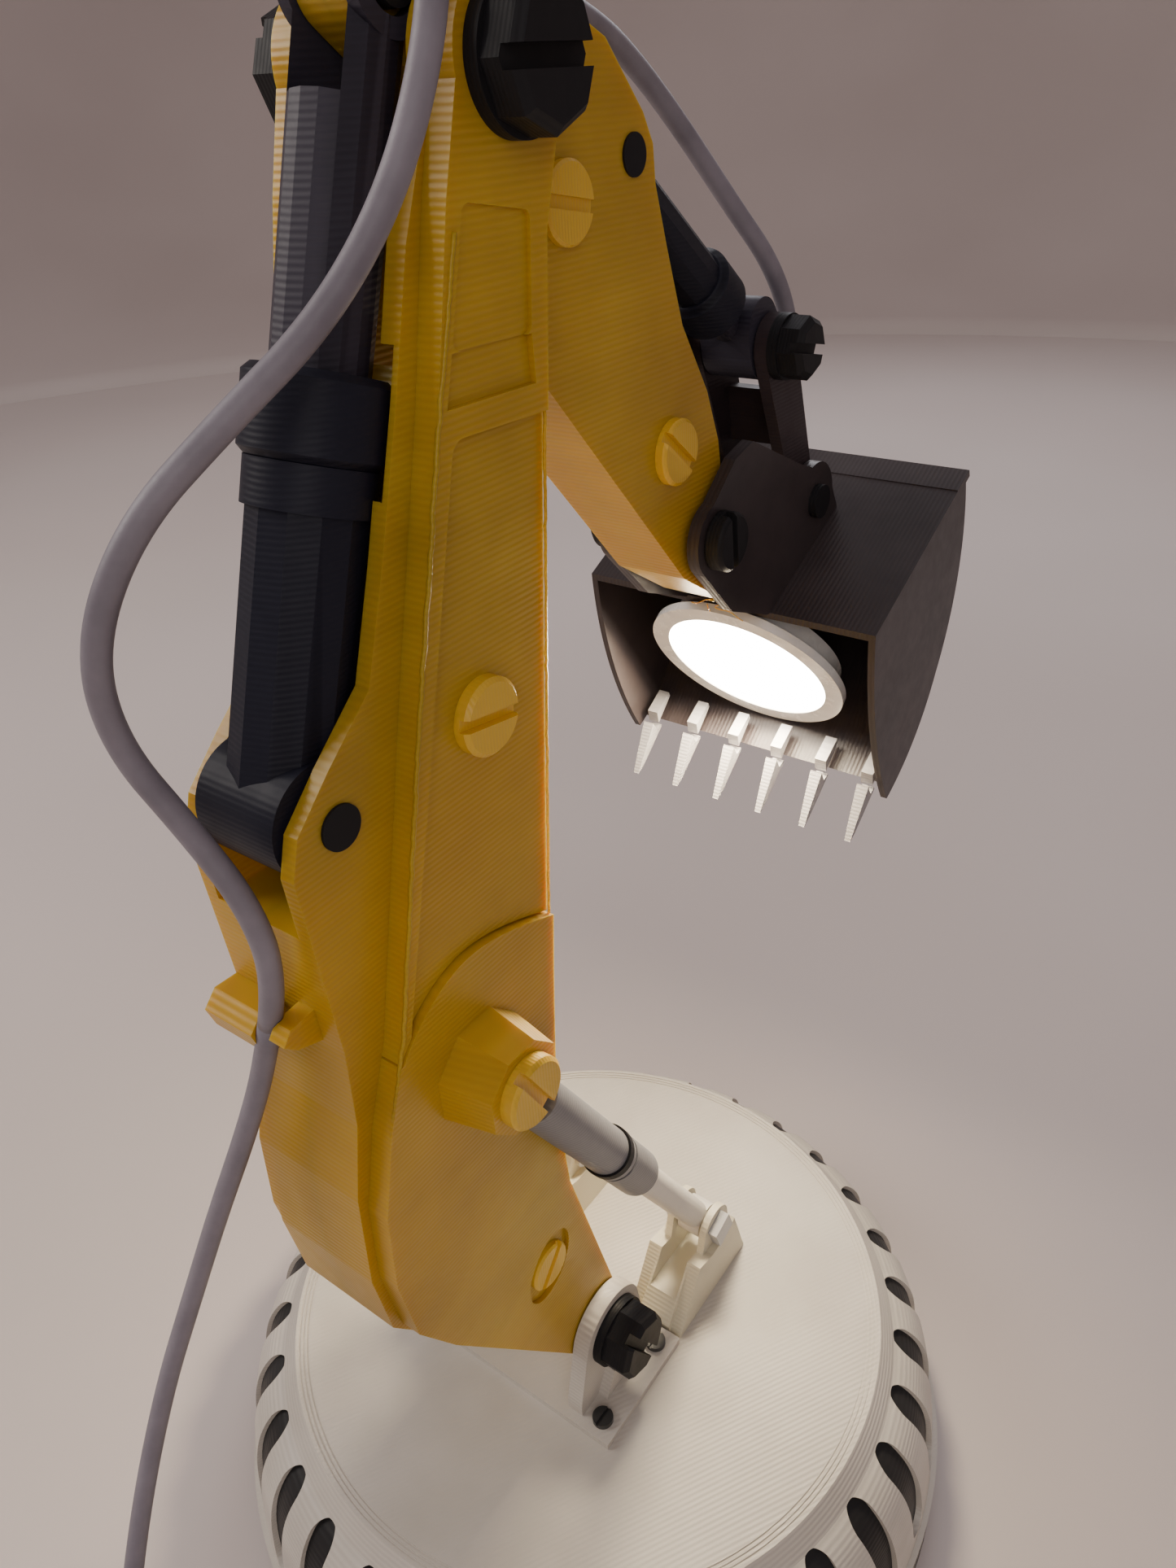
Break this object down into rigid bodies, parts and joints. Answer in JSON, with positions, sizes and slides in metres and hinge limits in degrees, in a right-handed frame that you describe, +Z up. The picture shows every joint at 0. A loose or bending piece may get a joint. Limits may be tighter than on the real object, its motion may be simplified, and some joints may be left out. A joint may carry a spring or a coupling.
{
  "type": "articulated excavator arm lamp",
  "caption": "Printed excavator arm on a round tyre-like base, with pin-jointed boom, stick and bucket, dummy hydraulic cylinders and a lamp puck in the bucket.",
  "frame": {"origin": "on the desk under the centre of the round base", "axes": "+Z up, +X from the arm towards the bucket, +Y to the arm's left, the side that carries the rocker link"},
  "size_m": [0.363, 0.212, 0.3885],
  "materials": {
    "base_print": "layered light grey print",
    "base_dark": "dark print seen in the tread grooves",
    "base_floor": "flat printed plate",
    "steel": "plain steel",
    "pad": "soft non-slip pad",
    "screw_black": "black oxide screws",
    "bolt_black": "black print",
    "clevis_print": "cream print",
    "cable": "smooth light grey cable jacket",
    "plug": "light plug body with a steel shell",
    "yellow_print": "translucent yellow print with layer lines",
    "yellow_screw": "yellow printed slotted screws",
    "black_print": "blue-black print",
    "grey_print": "dark grey print",
    "dark_print": "dark grey print",
    "rod_print": "light grey print",
    "link_print": "dark brown print",
    "bucket_print": "dark grey-brown satin print",
    "teeth_print": "grey print",
    "lamp_white": "white ring",
    "lamp_lens": "milky glowing lens"
  },
  "bodies": {
    "base": {"base_shell": "base_print", "base_carcass": "base_dark", "base_floor": "base_floor", "base_ballast": "steel", "base_pad": "pad", "base_screws": "screw_black", "boom_bracket": "base_print", "base_pivot_bolt": "bolt_black", "base_pivot_nut": "bolt_black", "cylinder_clevises": "clevis_print", "clevis_pins": "steel", "cable_desk": "cable", "cable_coil": "cable", "usb_plug": "plug"},
    "boom": {"boom_core_near": "yellow_print", "boom_core_far": "yellow_print", "boom_panel_near": "yellow_print", "boom_panel_far": "yellow_print", "boom_cover_near": "yellow_print", "boom_cover_far": "yellow_print", "boom_screws": "yellow_screw", "boss_screws": "yellow_screw", "boom_cable_clip": "yellow_print", "top_pivot_bolt": "bolt_black", "top_pivot_nut": "bolt_black", "stick_cylinder_pin": "bolt_black", "cable_arm": "cable"},
    "stick": {"stick_near": "yellow_print", "stick_far": "yellow_print", "stick_lug_pin": "bolt_black", "bucket_cylinder_pin": "bolt_black", "stick_screws": "yellow_screw", "rocker_bolt": "yellow_screw", "bucket_pivot_bolt": "bolt_black", "stick_cable_clip": "yellow_print", "cable_lamp": "cable"},
    "bucket": {"bucket_shell": "bucket_print", "bucket_bracket": "bucket_print", "bucket_teeth": "teeth_print", "ear_pin": "bolt_black", "cable_gland": "cable", "lamp_housing": "lamp_white", "lamp_diffuser": "lamp_lens"},
    "stick_barrel": {"stick_cylinder_barrel": "black_print", "stick_cylinder_gland": "black_print"},
    "stick_rod": {"stick_cylinder_rod": "dark_print"},
    "bucket_barrel": {"bucket_cylinder_barrel": "black_print", "bucket_cylinder_gland": "black_print"},
    "bucket_rod": {"bucket_cylinder_rod": "dark_print"},
    "rocker": {"rocker_link": "link_print"},
    "h_link": {"h_link": "link_print", "link_bolt": "bolt_black"},
    "boom_barrel_near": {"boom_cylinder_barrel_near": "grey_print", "boom_cylinder_seal_near": "bolt_black", "boom_cylinder_gland_near": "grey_print"},
    "boom_rod_near": {"boom_cylinder_rod_near": "rod_print"},
    "boom_barrel_far": {"boom_cylinder_barrel_far": "grey_print", "boom_cylinder_seal_far": "bolt_black", "boom_cylinder_gland_far": "grey_print"},
    "boom_rod_far": {"boom_cylinder_rod_far": "rod_print"}
  },
  "joints": [
    {"name": "boom_hinge", "type": "hinge", "parent": "base", "child": "boom", "pos_m": [-0.0175, 0, 0.0775], "axis": [0, 1, 0], "range_deg": [-10, 10], "deforming": ["cable_desk"]},
    {"name": "stick_hinge", "type": "hinge", "parent": "boom", "child": "stick", "pos_m": [-0.0153, 0, 0.366], "axis": [0, 1, 0], "range_deg": [-12, 12], "deforming": ["cable_arm"]},
    {"name": "bucket_hinge", "type": "hinge", "parent": "stick", "child": "bucket", "pos_m": [0.051, 0, 0.2745], "axis": [0, 1, 0], "range_deg": [-8, 15], "deforming": ["cable_lamp"]},
    {"name": "boom_barrel_near_hinge", "type": "hinge", "parent": "boom", "child": "boom_barrel_near", "pos_m": [-0.048, -0.024, 0.2005], "axis": [0, 1, 0], "range_deg": [-1.6, 1.6]},
    {"name": "boom_rod_near_slide", "type": "slide", "parent": "boom_barrel_near", "child": "boom_rod_near", "axis": [0.5109, 0, -0.8597], "range_m": [-0.0067, 0.0067]},
    {"name": "boom_barrel_far_hinge", "type": "hinge", "parent": "boom", "child": "boom_barrel_far", "pos_m": [-0.048, 0.024, 0.2005], "axis": [0, 1, 0], "range_deg": [-1.6, 1.6]},
    {"name": "boom_rod_far_slide", "type": "slide", "parent": "boom_barrel_far", "child": "boom_rod_far", "axis": [0.5109, 0, -0.8597], "range_m": [-0.0067, 0.0067]},
    {"name": "stick_barrel_hinge", "type": "hinge", "parent": "boom", "child": "stick_barrel", "pos_m": [-0.066, 0, 0.2655], "axis": [0, 1, 0], "range_deg": [-0.8, 0.8]},
    {"name": "stick_rod_slide", "type": "slide", "parent": "stick_barrel", "child": "stick_rod", "axis": [0.3398, 0, 0.9405], "range_m": [-0.0032, 0.0032]},
    {"name": "bucket_barrel_hinge", "type": "hinge", "parent": "stick", "child": "bucket_barrel", "pos_m": [0.0277, 0, 0.3512], "axis": [0, 1, 0], "range_deg": [-3.2, 5.8]},
    {"name": "bucket_rod_slide", "type": "slide", "parent": "bucket_barrel", "child": "bucket_rod", "axis": [0.8002, 0, -0.5998], "range_m": [-0.005, 0.0094]},
    {"name": "rocker_hinge", "type": "hinge", "parent": "stick", "child": "rocker", "pos_m": [0.0395, 0, 0.2965], "axis": [0, 1, 0], "range_deg": [-7.8, 14.4]},
    {"name": "h_link_hinge", "type": "hinge", "parent": "rocker", "child": "h_link", "pos_m": [0.084, 0, 0.309], "axis": [0, 1, 0], "range_deg": [-7.8, 4.3]}
  ],
  "couplings": [
    {"joint": "boom_barrel_near_hinge", "follows": "boom_hinge", "ratio": -0.1444},
    {"joint": "boom_rod_near_slide", "follows": "boom_hinge", "m_per_rad": -0.03654},
    {"joint": "boom_barrel_far_hinge", "follows": "boom_hinge", "ratio": -0.1444},
    {"joint": "boom_rod_far_slide", "follows": "boom_hinge", "m_per_rad": -0.03654},
    {"joint": "stick_barrel_hinge", "follows": "stick_hinge", "ratio": 0.0502},
    {"joint": "stick_rod_slide", "follows": "stick_hinge", "m_per_rad": 0.01348},
    {"joint": "rocker_hinge", "follows": "bucket_hinge", "ratio": 0.945},
    {"joint": "h_link_hinge", "follows": "bucket_hinge", "ratio": -0.5095},
    {"joint": "bucket_barrel_hinge", "follows": "bucket_hinge", "ratio": 0.3757},
    {"joint": "bucket_rod_slide", "follows": "bucket_hinge", "m_per_rad": 0.03469}
  ]
}
